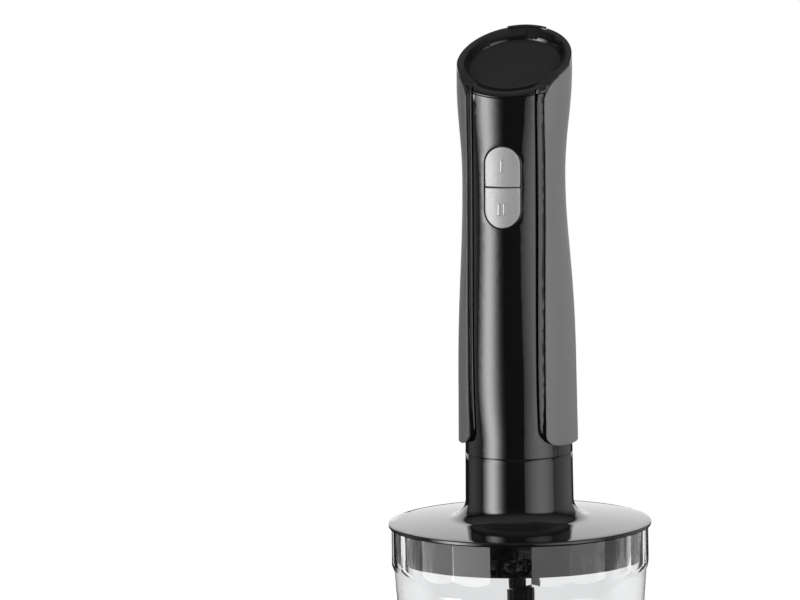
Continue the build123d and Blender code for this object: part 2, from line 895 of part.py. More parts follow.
slot_level = seam + button_level
flange_grow = 2 * button_flange_reach
with BuildPart() as front_cover:
    add(body_skin)
    add(core_skin, mode=Mode.SUBTRACT)
    add(cover_window, mode=Mode.INTERSECT)
    add(cover_flange.part)
    with BuildSketch(Plane.XY.offset(seam)):
        Circle(spigot_radius)
    extrude(amount=band_floor, mode=Mode.SUBTRACT)
    button_slot_height = button_height + 2 * button_gap
    button_slot_width = button_width + 2 * button_gap
    with BuildSketch(Plane.XZ):
        with Locations((0, slot_level)):
            SlotOverall(button_slot_height, button_slot_width, rotation=90)
    extrude(amount=far, mode=Mode.SUBTRACT)
    with BuildSketch(Plane.XZ):
        with Locations((0, slot_level)):
            SlotOverall(button_slot_height + flange_grow, button_slot_width + flange_grow, rotation=90)
    extrude(amount=button_back + button_gap, mode=Mode.SUBTRACT)
    visible_edges = outer_edges(front_cover, body_shell)
    fillet(visible_edges.filter_by(lambda edge: (edge @ 0.5).Z > seam + edge_tolerance), spine_edge_round)
front_cover.part.label = "front_cover"
export_step(front_cover.part, "parts/front_cover.step")

# Rear housing: the main shell with rails, ribs, board posts and the tongue at the back of the rim
with BuildPart() as flange_seat:
    add(core_skin)
    add(flange_room, mode=Mode.INTERSECT)

stator_top = stator_level + stator_height
rib_levels = (mount_level, stator_level + damper_inset, stator_top - damper_inset - damper_height)
with BuildPart() as ribs:
    for level in rib_levels:
        with BuildSketch(Plane.XY.offset(seam + level)):
            Circle(far / 3)
            Circle(mount_radius, mode=Mode.SUBTRACT)
        extrude(amount=damper_height)
    add(core_skin, mode=Mode.INTERSECT)
    add(flange_room, mode=Mode.SUBTRACT)

with BuildPart() as tongue:
    add(body_skin)
    add(tongue_skin, mode=Mode.SUBTRACT)
    with Locations((0, far / 2, seam + handle_length)):
        Box(2 * rear_spine_half_width, far, far / 2, mode=Mode.INTERSECT)
    split(bisect_by=rim_plane.offset(tongue_rise), keep=Keep.BOTTOM)

with BuildPart() as rail_end:
    with Locations((0, -far / 2 - rail_end_depth, seam + lip_level)):
        Box(far, far, far, align=(Align.CENTER, Align.CENTER, Align.MIN))
    add(core_skin, mode=Mode.SUBTRACT)
    with Locations((0, -far / 2 - front_block_depth, seam + lip_level)):
        Box(2 * grip_front, far, far, align=(Align.CENTER, Align.CENTER, Align.MIN))

with BuildPart() as rear_housing:
    add(body_skin)
    add(cavity, mode=Mode.SUBTRACT)
    split(bisect_by=rim_plane.offset(-rim_thickness - grip_gap), keep=Keep.BOTTOM)
    with BuildSketch(Plane.XY.offset(seam)):
        Circle(spigot_radius)
    extrude(amount=band_floor, mode=Mode.SUBTRACT)
    add(housing_window, mode=Mode.SUBTRACT)
    add(flange_seat.part, mode=Mode.SUBTRACT)
    add(rail_end.part, mode=Mode.SUBTRACT)
    with BuildSketch(rim_plane):
        plug_room = plug_margin + plug_clearance
        Ellipse(pad_half_width + plug_room, pad_half_length + plug_room)
    extrude(amount=-cap_plug_depth - plug_clearance, mode=Mode.SUBTRACT)
    with BuildSketch(rim_plane):
        Ellipse(dish_half_width + collar_margin, dish_half_length + collar_margin)
    extrude(amount=-dish_depth - plug_clearance, mode=Mode.SUBTRACT)
    for pocket in (right_pocket, left_pocket):
        add(pocket - core_skin, mode=Mode.SUBTRACT)
    add(ribs.part)
    add(tongue.part)
    with BuildSketch(Plane.XZ.offset(board_front - board_thickness)):
        with Locations((0, slot_level - post_spacing / 2), (0, slot_level + post_spacing / 2)):
            Circle(post_radius)
    extrude(amount=-far / 3)
    add(body_skin, mode=Mode.INTERSECT)
    with BuildSketch(Plane.XZ):
        with Locations((0, seam + gland_level)):
            Circle(gland_radius)
    extrude(amount=-far, mode=Mode.SUBTRACT)
    rail_inner = spine_half_width + spine_gap
    rail_edges = outer_edges(rear_housing, body_shell).filter_by(
        lambda edge: all(abs(abs((edge @ share).X) - rail_inner) < edge_tolerance for share in (0.1, 0.9))
    )
    fillet(rail_edges, rail_edge_round)
rear_housing.part.label = "rear_housing"
export_step(rear_housing.part, "parts/rear_housing.step")

# Soft side grips
with BuildPart() as right_grip:
    add(grip_skin)
    add(core_skin, mode=Mode.SUBTRACT)
    add(right_grip_block, mode=Mode.INTERSECT)
    grip_top = -rim_thickness - grip_gap - edge_tolerance
    low_edges = outer_edges(right_grip, grip_shell).filter_by(
        lambda edge: rim_plane.to_local_coords(edge @ 0.5).Z < grip_top and edge.length > grip_thickness
    )
    fillet(low_edges, grip_edge_round)
right_grip.part.label = "right_grip"
export_step(right_grip.part, "parts/right_grip.step")

with BuildPart() as left_grip:
    add(right_grip.part.mirror(Plane.YZ))
left_grip.part.label = "left_grip"
export_step(left_grip.part, "parts/left_grip.step")

# Top cap: rim that tapers out at the front, concave dish, rolled front lip and the plug into the housing
rim_side = Plane(origin=rim_plane.origin, x_dir=rim_plane.y_dir, z_dir=(1, 0, 0))
with BuildPart() as cap_roll:
    add(grip_skin)
    split(bisect_by=pad_plane, keep=Keep.BOTTOM)
    split(bisect_by=Plane.XY.offset(seam + lip_level - lip_sag), keep=Keep.TOP)
    fillet(cap_roll.faces().filter_by(pad_plane).edges(), lip_round)

with BuildPart() as cap_rim:
    add(grip_skin)
    split(bisect_by=rim_plane, keep=Keep.BOTTOM)
    split(bisect_by=pad_plane.offset(-lip_round), keep=Keep.TOP)
    fillet(cap_rim.faces().filter_by(rim_plane).sort_by(Axis.Z)[-1].edges(), rim_round)
    with Locations((0, -far / 2 - front_block_depth, seam + top_level)):
        Box(2 * spine_half_width + spine_gap, far, far, mode=Mode.SUBTRACT)

with BuildPart() as tongue_notch:
    with Locations((0, far / 2, seam + handle_length)):
        Box(2 * grip_rear, far, far / 2)
    add(tongue_skin, mode=Mode.SUBTRACT)

with BuildPart() as lip_grooves:
    for side in (-1, 1):
        groove_middle = side * (spine_half_width + spine_gap / 2)
        with Locations((groove_middle, -far / 2 - front_block_depth, seam + lip_level)):
            Box(spine_gap, far, far)
    add(tongue_skin, mode=Mode.SUBTRACT)

with BuildPart() as cap_core:
    add(core_skin)
    split(bisect_by=rim_plane.offset(-rim_thickness), keep=Keep.BOTTOM)
    with Locations((0, 0, seam)):
        Box(2 * grip_front, far, 10 * far, mode=Mode.SUBTRACT)

with BuildPart() as top_cap:
    add(cap_roll.part)
    add(cap_rim.part)
    add(cap_core.part, mode=Mode.SUBTRACT)
    with BuildSketch(rim_plane.offset(-rim_thickness)):
        with Locations((0, far / 2 - front_block_depth / slope)):
            Rectangle(2 * grip_front, far)
        with Locations((0, far / 2 - rail_end_depth / slope)):
            Rectangle(far, far)
    extrude(amount=far, dir=(0, 0, -1), mode=Mode.SUBTRACT)
    add(cap_window, mode=Mode.SUBTRACT)
    for side in (-1, 1):
        rail_middle = side * (far / 2 + spine_half_width + spine_gap)
        with Locations((rail_middle, 0, seam + lip_level + parting_gap)):
            Box(far, far, far, align=(Align.CENTER, Align.CENTER, Align.MAX), mode=Mode.SUBTRACT)
    with BuildSketch(rim_plane.offset(-rim_thickness)):
        Ellipse(dish_half_width, dish_half_length)
        with Locations((0, far / 2 - rim_fall_front / slope)):
            Rectangle(far, far, mode=Mode.INTERSECT)
        with Locations((0, -far / 2 - front_block_depth / slope)):
            Rectangle(2 * spine_half_width + spine_gap, far, mode=Mode.SUBTRACT)
    extrude(amount=rim_thickness - dish_depth)
    with BuildSketch(pad_plane):
        Ellipse(pad_half_width + plug_margin, pad_half_length + plug_margin)
    extrude(amount=dish_depth - cap_plug_depth)
    for pocket in (right_pocket, left_pocket):
        add(pocket - core_skin, mode=Mode.SUBTRACT)
    with BuildSketch(rim_side):
        with BuildLine():
            fall_start = (-rim_fall_back / slope, 0)
            fall_end = (-rim_fall_front / slope, -dish_depth)
            ThreePointArc(
                fall_start,
                ((fall_start[0] + fall_end[0]) / 2, -dish_depth / 4),
                fall_end,
            )
            Polyline(fall_end, (-far, -dish_depth), (-far, far), (fall_start[0], far), fall_start)
        make_face()
    extrude(amount=far, both=True, mode=Mode.SUBTRACT)
    with BuildSketch(rim_plane):
        Ellipse(dish_half_width, dish_half_length)
    with BuildSketch(pad_plane):
        Ellipse(pad_half_width, pad_half_length)
    loft(mode=Mode.SUBTRACT)
    with BuildSketch(pad_plane):
        Ellipse(pad_half_width, pad_half_length)
    extrude(amount=-pad_thickness, mode=Mode.SUBTRACT)
    add(lip_grooves.part, mode=Mode.SUBTRACT)
    add(tongue_notch.part, mode=Mode.SUBTRACT)
top_cap.part.label = "top_cap"
export_step(top_cap.part, "parts/top_cap.step")

with BuildPart() as top_pad:
    with BuildSketch(pad_plane):
        Ellipse(pad_half_width, pad_half_length)
    extrude(amount=-pad_thickness)
top_pad.part.label = "top_pad"
export_step(top_pad.part, "parts/top_pad.step")

# Dock ring: the keyed spigot that plugs into the lid's neck
with BuildPart() as dock_ring:
    with BuildSketch(Plane.XY.offset(spigot_bottom)):
        Circle(spigot_radius)
        Circle(spigot_radius - spigot_wall, mode=Mode.SUBTRACT)
    extrude(amount=spigot_depth + band_floor)
    with BuildSketch(Plane.XY.offset(seam + band_floor - spigot_plate)):
        Circle(spigot_radius)
        Circle(seal_radius, mode=Mode.SUBTRACT)
    extrude(amount=spigot_plate)
    with BuildSketch(Plane.XY.offset(spigot_bottom)):
        Rectangle(2 * (spigot_radius + key_height), key_width)
        Circle(spigot_radius - spigot_wall, mode=Mode.SUBTRACT)
    extrude(amount=spigot_depth - key_top_gap)
dock_ring.part.label = "dock_ring"
export_step(dock_ring.part, "parts/dock_ring.step")

with BuildPart() as shaft_seal:
    with BuildSketch(Plane.XY.offset(seam + seal_level)):
        Circle(seal_radius)
        Circle(shaft_radius + seal_clearance, mode=Mode.SUBTRACT)
    extrude(amount=seal_height)
shaft_seal.part.label = "shaft_seal"
export_step(shaft_seal.part, "parts/shaft_seal.step")

# Two buttons sharing one pill-shaped slot
half_button = button_height / 4
for button_name, side in (("low_button", 1), ("high_button", -1)):
    middle = slot_level + side * half_button
    with BuildPart() as button:
        with BuildSketch(Plane.XZ.offset(button_back)):
            with Locations((0, slot_level)):
                SlotOverall(button_height, button_width, rotation=90)
            with Locations((0, slot_level + side * (far + button_split) / 2)):
                Rectangle(far, far, mode=Mode.INTERSECT)
        extrude(amount=far)
        add(button_skin, mode=Mode.INTERSECT)
        fillet(outer_edges(button, button_shell), button_edge_round)
        with BuildSketch(Plane.XZ.offset(button_back - button_flange)):
            with Locations((0, slot_level)):
                SlotOverall(button_height + flange_grow, button_width + flange_grow, rotation=90)
            with Locations((0, slot_level + side * (far + button_split) / 2)):
                Rectangle(far, far, mode=Mode.INTERSECT)
        extrude(amount=button_flange)
        with BuildSketch(Plane.XZ.offset(button_back - button_flange)):
            with Locations((0, middle)):
                Circle(plunger_radius)
        extrude(amount=-plunger_length)
    button.part.label = button_name
    export_step(button.part, f"parts/{button_name}.step")

for switch_name, side in (("low_switch", 1), ("high_switch", -1)):
    with BuildPart() as switch:
        with BuildSketch(Plane.XZ.offset(board_front)):
            with Locations((0, slot_level + side * half_button)):
                Rectangle(switch_width, switch_length)
        extrude(amount=switch_depth)
        with BuildSketch(Plane.XZ.offset(board_front + switch_depth)):
            with Locations((0, slot_level + side * half_button)):
                Circle(plunger_radius + plunger_clearance)
        extrude(amount=-plunger_length, mode=Mode.SUBTRACT)
    switch.part.label = switch_name
    export_step(switch.part, f"parts/{switch_name}.step")

with BuildPart() as switch_board:
    with BuildSketch(Plane.XZ.offset(board_front - board_thickness)):
        with Locations((0, slot_level)):
            RectangleRounded(board_width, board_length, board_corner)
    extrude(amount=board_thickness)
switch_board.part.label = "switch_board"
export_step(switch_board.part, "parts/switch_board.step")

# Cord gland in the back wall
with BuildPart() as cord_gland:
    with BuildSketch(Plane.XZ.offset(-gland_inner)):
        with Locations((0, seam + gland_level)):
            Circle(gland_radius)
            Circle(gland_bore_radius, mode=Mode.SUBTRACT)
    extrude(amount=gland_inner - gland_outer)
    fillet(cord_gland.edges().group_by(Axis.Y)[-1].sort_by(SortBy.RADIUS)[-1], gland_round)
cord_gland.part.label = "cord_gland"
export_step(cord_gland.part, "parts/cord_gland.step")

# Motor mount and bearings
lower_bearing_level = mount_level + mount_lip
with BuildPart() as motor_mount:
    with BuildSketch(Plane.XY.offset(seam + mount_level)):
        Circle(mount_radius)
        with PolarLocations(vent_circle, vent_count):
            Circle(vent_radius, mode=Mode.SUBTRACT)
    extrude(amount=mount_plate)
    with BuildSketch(Plane.XY.offset(seam + mount_level)):
        Circle(lower_bearing_radius + bearing_cup_wall)
    extrude(amount=mount_lip + bearing_height)
    with BuildSketch(Plane.XY.offset(seam + mount_level)):
        Circle(mount_lip_radius)
    extrude(amount=mount_lip, mode=Mode.SUBTRACT)
    with BuildSketch(Plane.XY.offset(seam + lower_bearing_level)):
        Circle(lower_bearing_radius)
    extrude(amount=bearing_height, mode=Mode.SUBTRACT)
motor_mount.part.label = "motor_mount"
export_step(motor_mount.part, "parts/motor_mount.step")

for bearing_name, radius, level in (
    ("lower_bearing", lower_bearing_radius, lower_bearing_level),
    ("upper_bearing", upper_bearing_radius, upper_bearing_level),
):
    with BuildPart() as bearing:
        with BuildSketch(Plane.XY.offset(seam + level)):
            Circle(radius)
            Circle(shaft_radius + running_clearance, mode=Mode.SUBTRACT)
        extrude(amount=bearing_height)
    bearing.part.label = bearing_name
    export_step(bearing.part, f"parts/{bearing_name}.step")

# Stator, its two coils and the rubber dampers round it
with BuildPart() as stator_core:
    with BuildSketch(Plane.XY.offset(seam + stator_level)):
        Circle(stator_radius)
        Circle(stator_ring_inner, mode=Mode.SUBTRACT)
        Rectangle(pole_width, 2 * stator_ring_inner)
        Circle(stator_bore, mode=Mode.SUBTRACT)
    extrude(amount=stator_height)
stator_core.part.label = "stator_core"
export_step(stator_core.part, "parts/stator_core.step")

coil_height = stator_height + 2 * coil_overhang
with BuildPart() as field_coils:
    for side in (1, -1):
        with BuildSketch(Plane.XZ.offset(side * coil_inner)):
            with Locations((0, seam + stator_level + stator_height / 2)):
                RectangleRounded(2 * coil_half_width, coil_height, coil_round)
                Rectangle(pole_width, stator_height, mode=Mode.SUBTRACT)
        extrude(amount=side * (coil_outer - coil_inner))
field_coils.part.label = "field_coils"
export_step(field_coils.part, "parts/field_coils.step")

for damper_name, level in (("lower_damper", rib_levels[1]), ("upper_damper", rib_levels[2])):
    with BuildPart() as damper:
        with BuildSketch(Plane.XY.offset(seam + level)):
            Circle(mount_radius)
            Circle(stator_radius, mode=Mode.SUBTRACT)
        extrude(amount=damper_height)
    damper.part.label = damper_name
    export_step(damper.part, f"parts/{damper_name}.step")

# Brush bracket: ring on the stator, legs, brush boxes and a bridge holding the upper bearing
bracket_top = bracket_level + bracket_plate
bridge_level = upper_bearing_level - mount_lip
box_middle = (bracket_hole + brush_box_end) / 2
with BuildPart() as brush_bracket:
    with BuildSketch(Plane.XY.offset(seam + stator_top)):
        Circle(stator_radius)
        Circle(bracket_leg_inner, mode=Mode.SUBTRACT)
    extrude(amount=mount_plate)
    with BuildSketch(Plane.XY.offset(seam + stator_top)):
        Rectangle(2 * far, bracket_leg_width)
        Circle(stator_radius, mode=Mode.INTERSECT)
        Circle(bracket_leg_inner, mode=Mode.SUBTRACT)
    extrude(amount=bracket_top - stator_top)
    with BuildSketch(Plane.XY.offset(seam + bracket_level)):
        Circle(bracket_radius)
        Circle(bracket_hole, mode=Mode.SUBTRACT)
    extrude(amount=bracket_plate)
    with BuildSketch(Plane.XY.offset(seam + bracket_top)):
        with Locations((box_middle, 0), (-box_middle, 0)):
            Rectangle(brush_box_end - bracket_hole, brush_box_width)
    extrude(amount=brush_box_height)
    with BuildSketch(Plane.XY.offset(seam + bracket_top)):
        with Locations((0, bridge_half_length - bridge_post / 2), (0, bridge_post / 2 - bridge_half_length)):
            Rectangle(bridge_width, bridge_post)
    extrude(amount=bridge_level - bracket_top)
    with BuildSketch(Plane.XY.offset(seam + bridge_level)):
        Rectangle(bridge_width, 2 * bridge_half_length)
        Circle(upper_bearing_radius + bearing_cup_wall)
    extrude(amount=mount_lip + bearing_height)
    with BuildSketch(Plane.XY.offset(seam + bridge_level)):
        Circle(mount_lip_radius)
    extrude(amount=mount_lip, mode=Mode.SUBTRACT)
    with BuildSketch(Plane.XY.offset(seam + upper_bearing_level)):
        Circle(upper_bearing_radius)
    extrude(amount=bearing_height, mode=Mode.SUBTRACT)
    with BuildSketch(Plane.YZ):
        with Locations((0, seam + bracket_top + brush_box_height / 2)):
            Rectangle(brush_width, brush_height)
    extrude(amount=far / 2, both=True, mode=Mode.SUBTRACT)
brush_bracket.part.label = "brush_bracket"
export_step(brush_bracket.part, "parts/brush_bracket.step")

brush_middle = (commutator_radius + brush_gap + brush_end) / 2
with BuildPart() as carbon_brushes:
    with BuildSketch(Plane.XY.offset(seam + bracket_top + (brush_box_height - brush_height) / 2)):
        with Locations((brush_middle, 0), (-brush_middle, 0)):
            Rectangle(brush_end - commutator_radius - brush_gap, brush_width)
        Circle(commutator_radius + brush_gap, mode=Mode.SUBTRACT)
    extrude(amount=brush_height)
carbon_brushes.part.label = "carbon_brushes"
export_step(carbon_brushes.part, "parts/carbon_brushes.step")

# Rotor
with BuildPart() as motor_shaft:
    with BuildSketch(Plane.XY.offset(seam + shaft_bottom)):
        Circle(shaft_radius)
    extrude(amount=shaft_top - shaft_bottom)
motor_shaft.part.label = "motor_shaft"
export_step(motor_shaft.part, "parts/motor_shaft.step")

slot_middle = (slot_inner + armature_radius) / 2
with BuildPart() as armature_core:
    with BuildSketch(Plane.XY.offset(seam + stator_level)):
        Circle(armature_radius)
        with PolarLocations(slot_middle, armature_slots):
            Rectangle(armature_radius - slot_inner + cut_run_out, slot_width, mode=Mode.SUBTRACT)
        Circle(shaft_radius, mode=Mode.SUBTRACT)
    extrude(amount=stator_height)
armature_core.part.label = "armature_core"
export_step(armature_core.part, "parts/armature_core.step")

winding_middle = (slot_inner + winding_radius) / 2
with BuildPart() as armature_windings:
    with BuildSketch(Plane.XY.offset(seam + stator_level)):
        with PolarLocations(winding_middle, armature_slots):
            Rectangle(winding_radius - slot_inner, slot_width)
    extrude(amount=stator_height)
    for level in (stator_level - winding_overhang, stator_top):
        with BuildSketch(Plane.XY.offset(seam + level)):
            Circle(winding_radius)
            Circle(shaft_radius, mode=Mode.SUBTRACT)
        extrude(amount=winding_overhang)
    ends = armature_windings.edges().filter_by(GeomType.CIRCLE)
    rounds = [ends.group_by(Axis.Z)[end].sort_by(SortBy.RADIUS)[-1] for end in (0, -1)]
    fillet(rounds, winding_overhang / 2)
armature_windings.part.label = "armature_windings"
export_step(armature_windings.part, "parts/armature_windings.step")

with BuildPart() as commutator:
    with BuildSketch(Plane.XY.offset(seam + commutator_level)):
        Circle(commutator_radius)
        with PolarLocations(commutator_radius, commutator_bars):
            Rectangle(2 * commutator_slit_depth, commutator_slit, mode=Mode.SUBTRACT)
        Circle(shaft_radius, mode=Mode.SUBTRACT)
    extrude(amount=commutator_height)
commutator.part.label = "commutator"
export_step(commutator.part, "parts/commutator.step")

blade_middle = (fan_hub + fan_radius) / 2
with BuildPart() as cooling_fan:
    with BuildSketch(Plane.XY.offset(seam + fan_level)):
        Circle(fan_radius)
    extrude(amount=fan_plate)
    with BuildSketch(Plane.XY.offset(seam + fan_level)):
        Circle(fan_hub)
        with PolarLocations(blade_middle, fan_blades):
            Rectangle(fan_radius - fan_hub + cut_run_out, fan_blade_width, rotation=fan_blade_lean)
        Circle(fan_radius, mode=Mode.INTERSECT)
    extrude(amount=fan_height)
    with BuildSketch(Plane.XY.offset(seam + fan_level)):
        Circle(shaft_radius)
    extrude(amount=fan_height, mode=Mode.SUBTRACT)
cooling_fan.part.label = "cooling_fan"
export_step(cooling_fan.part, "parts/cooling_fan.step")

coupler_bottom = star_bottom + coupler_gap
socket_end = star_bottom + star_height + coupler_gap
with BuildPart() as drive_coupler:
    with BuildSketch(Plane.XY.offset(coupler_bottom)):
        Circle(coupler_radius)
        with BuildLine():
            draw_star(star_outer + star_clearance, star_inner + star_clearance)
        make_face(mode=Mode.SUBTRACT)
    extrude(amount=socket_end - coupler_bottom)
    with BuildSketch(Plane.XY.offset(socket_end)):
        Circle(coupler_radius)
        Circle(shaft_radius, mode=Mode.SUBTRACT)
    extrude(amount=coupler_cap)
drive_coupler.part.label = "drive_coupler"
export_step(drive_coupler.part, "parts/drive_coupler.step")
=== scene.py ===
import json
import math

import bmesh
import bpy
from mathutils import Matrix, Vector
from mathutils.bvhtree import BVHTree


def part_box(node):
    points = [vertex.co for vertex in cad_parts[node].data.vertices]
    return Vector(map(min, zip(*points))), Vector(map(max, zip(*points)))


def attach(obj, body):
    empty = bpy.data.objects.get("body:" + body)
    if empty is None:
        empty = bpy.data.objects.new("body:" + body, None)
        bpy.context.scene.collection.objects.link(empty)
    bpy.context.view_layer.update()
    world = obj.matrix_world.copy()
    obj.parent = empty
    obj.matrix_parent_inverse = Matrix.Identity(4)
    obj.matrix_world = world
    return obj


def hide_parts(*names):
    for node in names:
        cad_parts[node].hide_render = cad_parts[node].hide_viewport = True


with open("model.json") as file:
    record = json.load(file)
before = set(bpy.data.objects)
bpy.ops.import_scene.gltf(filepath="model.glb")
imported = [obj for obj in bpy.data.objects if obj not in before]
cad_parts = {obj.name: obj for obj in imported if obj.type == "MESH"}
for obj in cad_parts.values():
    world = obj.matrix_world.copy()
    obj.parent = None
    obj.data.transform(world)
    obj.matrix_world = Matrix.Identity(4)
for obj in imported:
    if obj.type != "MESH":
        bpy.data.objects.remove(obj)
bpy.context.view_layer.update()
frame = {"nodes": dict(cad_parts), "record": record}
cadNodes = frame["nodes"]
nodeBody = {}
for bodyName, members in frame["record"]["behaviour"]["bodies"].items():
    for member in members:
        nodeBody[member] = bodyName
nodeSlot = {row["node"]: row["material_slot"] for row in frame["record"]["subparts"]}
mm = 0.001
white = (1, 1, 1, 1)
print("frame loaded:", len(cadNodes), "nodes")


# azimuth 0 is in front of the object, on -Y, and azimuth 90 is on +X
def outwardAt(azimuth, elevation=0.0):
    turn = math.radians(azimuth)
    tilt = math.radians(elevation)
    flat = math.cos(tilt)
    return Vector((math.sin(turn) * flat, -math.cos(turn) * flat, math.sin(tilt)))


def sideAt(azimuth):
    turn = math.radians(azimuth)
    return Vector((math.cos(turn), math.sin(turn), 0))


# camera: a long lens well back, so that uprights stay upright
photoCamera = {
    "lens": 500.0, "sensor": 36, "clipStart": 0.1, "clipEnd": 100,
    "azimuth": 15.3, "elevation": 8.70, "roll": -0.82, "distance": 5.275,
    "aimRight": -0.0556,  # the object stands right of the middle
    "aimHeight": 0.1933,
}


def makeCamera(p):
    back = outwardAt(p["azimuth"], p["elevation"])
    right = sideAt(p["azimuth"])
    up = back.cross(right)
    roll = math.radians(p["roll"])
    tiltRight = right * math.cos(roll) + up * math.sin(roll)
    tiltUp = up * math.cos(roll) - right * math.sin(roll)
    data = bpy.data.cameras.new("photoCamera")
    data.lens = p["lens"]
    data.sensor_width = p["sensor"]
    data.clip_start = p["clipStart"]
    data.clip_end = p["clipEnd"]
    camera = bpy.data.objects.new("photoCamera", data)
    bpy.context.scene.collection.objects.link(camera)
    place = right * p["aimRight"] + Vector((0, 0, p["aimHeight"])) + back * p["distance"]
    turn = Matrix((tiltRight, tiltUp, back)).transposed().to_4x4()
    camera.matrix_world = Matrix.Translation(place) @ turn
    bpy.context.scene.camera = camera


makeCamera(photoCamera)
bpy.context.scene.view_settings.view_transform = "Standard"
print("camera set")


# shader helpers: an input takes either a plain value or the socket of another node
def feed(tree, socket, value):
    if isinstance(value, bpy.types.NodeSocket):
        tree.links.new(value, socket)
    else:
        socket.default_value = value


def addNode(tree, kind, **settings):
    node = tree.nodes.new(kind)
    for key, value in settings.items():
        if key in node.inputs:
            feed(tree, node.inputs[key], value)
        else:
            setattr(node, key, value)
    return node


def addMath(tree, operation, *terms, kind="ShaderNodeMath", output=0):
    node = addNode(tree, kind, operation=operation)
    for socket, term in zip(node.inputs, terms):
        feed(tree, socket, term)
    return node.outputs[output]


def addRange(tree, value, fromEnds, toEnds, interpolation="LINEAR"):
    node = addNode(tree, "ShaderNodeMapRange", interpolation_type=interpolation, Value=value)
    feed(tree, node.inputs["From Min"], fromEnds[0])
    feed(tree, node.inputs["From Max"], fromEnds[1])
    feed(tree, node.inputs["To Min"], toEnds[0])
    feed(tree, node.inputs["To Max"], toEnds[1])
    return node.outputs["Result"]


def addMix(tree, factor, first, second, kind="FLOAT"):
    return addNode(tree, "ShaderNodeMix", data_type=kind, Factor=factor, A=first, B=second).outputs["Result"]


def addNoise(tree, **settings):
    return addNode(tree, "ShaderNodeTexNoise", **settings).outputs["Fac"]


def objectCoords(tree):
    return addNode(tree, "ShaderNodeTexCoord").outputs["Object"]


# shader groups shared by the finishes
def newGroup(name, inputs, outputs):
    group = bpy.data.node_groups.new(name, "ShaderNodeTree")
    for label, kind, value in inputs:
        socket = group.interface.new_socket(name=label, in_out="INPUT", socket_type=kind)
        socket.default_value = value
    for label, kind in outputs:
        group.interface.new_socket(name=label, in_out="OUTPUT", socket_type=kind)
    start = group.nodes.new("NodeGroupInput")
    end = group.nodes.new("NodeGroupOutput")
    return group, start.outputs, end.inputs


# fine grain of a moulded surface
grainNoise = {"detail": 3.0, "roughness": 0.6}


def makeGrainGroup(p):
    group, start, end = newGroup(
        "mouldedGrain", [("Scale", "NodeSocketFloat", 900.0)], [("Height", "NodeSocketFloat")],
    )
    height = addNoise(
        group, Vector=objectCoords(group), Scale=start["Scale"], Detail=p["detail"], Roughness=p["roughness"],
    )
    feed(group, end["Height"], height)
    return group


# roughness that differs a little where hands have been
handledNoise = {"detail": 5.0, "roughness": 0.6, "distortion": 0.5, "spread": (0.38, 0.68)}


def makeHandledGroup(p):
    group, start, end = newGroup(
        "handledFinish",
        [
            ("Scale", "NodeSocketFloat", 40.0),
            ("Clean", "NodeSocketFloat", 0.1),
            ("Marked", "NodeSocketFloat", 0.2),
        ],
        [("Roughness", "NodeSocketFloat")],
    )
    noise = addNoise(
        group, Vector=objectCoords(group), Scale=start["Scale"], Detail=p["detail"],
        Roughness=p["roughness"], Distortion=p["distortion"],
    )
    feed(group, end["Roughness"], addRange(group, noise, p["spread"], (start["Clean"], start["Marked"])))
    return group


# slow drift of a tone, lighter and darker about its middle
driftNoise = {"detail": 4.0, "middle": 0.5}


def makeDriftGroup(p):
    group, start, end = newGroup(
        "toneDrift",
        [
            ("Color", "NodeSocketColor", (0.5, 0.5, 0.5, 1)),
            ("Scale", "NodeSocketFloat", 60.0),
            ("Amount", "NodeSocketFloat", 0.1),
        ],
        [("Color", "NodeSocketColor")],
    )
    noise = addNoise(group, Vector=objectCoords(group), Scale=start["Scale"], Detail=p["detail"])
    shift = addMath(group, "SUBTRACT", noise, p["middle"])
    value = addMath(group, "MULTIPLY_ADD", shift, start["Amount"], 1.0)
    tone = addNode(group, "ShaderNodeHueSaturation", Color=start["Color"], Value=value)
    feed(group, end["Color"], tone.outputs["Color"])
    return group


# lines of drawn, turned or wound metal
linesNoise = {"scale": 1.0, "detail": 2.0}


def makeLinesGroup(p):
    group, start, end = newGroup(
        "drawnLines", [("Stretch", "NodeSocketVector", (40, 4000, 4000))], [("Height", "NodeSocketFloat")],
    )
    stretched = addMath(group, "MULTIPLY", objectCoords(group), start["Stretch"], kind="ShaderNodeVectorMath")
    feed(group, end["Height"], addNoise(group, Vector=stretched, Scale=p["scale"], Detail=p["detail"]))
    return group


grainGroup = makeGrainGroup(grainNoise)
handledGroup = makeHandledGroup(handledNoise)
driftGroup = makeDriftGroup(driftNoise)
linesGroup = makeLinesGroup(linesNoise)


def useGroup(tree, group, **values):
    return addNode(tree, "ShaderNodeGroup", node_tree=group, **values)


def newMaterial(name):
    material = bpy.data.materials.new(name)
    material.use_nodes = True
    tree = material.node_tree
    return material, tree, tree.nodes["Principled BSDF"].inputs


def driftingTone(tree, p):
    tone = useGroup(tree, driftGroup, Color=(*p["color"], 1), Scale=p["toneScale"], Amount=p["toneAmount"])
    return tone.outputs["Color"]


def handledRoughness(tree, p):
    clean, marked = p["roughness"]
    handled = useGroup(tree, handledGroup, Scale=p["markScale"], Clean=clean, Marked=marked)
    return handled.outputs["Roughness"]


# one finish: tone, roughness and relief, each from its group
def makeFinish(name, p):
    material, tree, surface = newMaterial(name)
    for key, value in p.get("shader", {}).items():
        surface[key].default_value = value
    if "stretch" in p:
        relief = useGroup(tree, linesGroup, Stretch=p["stretch"])
    else:
        relief = useGroup(tree, grainGroup, Scale=p["grainScale"])
    bump = addNode(
        tree, "ShaderNodeBump", Height=relief.outputs["Height"],
        Strength=p["reliefStrength"], Distance=p["reliefDepth"],
    )
    feed(tree, surface["Base Color"], driftingTone(tree, p))
    feed(tree, surface["Roughness"], handledRoughness(tree, p))
    feed(tree, surface["Normal"], bump.outputs["Normal"])
    return material


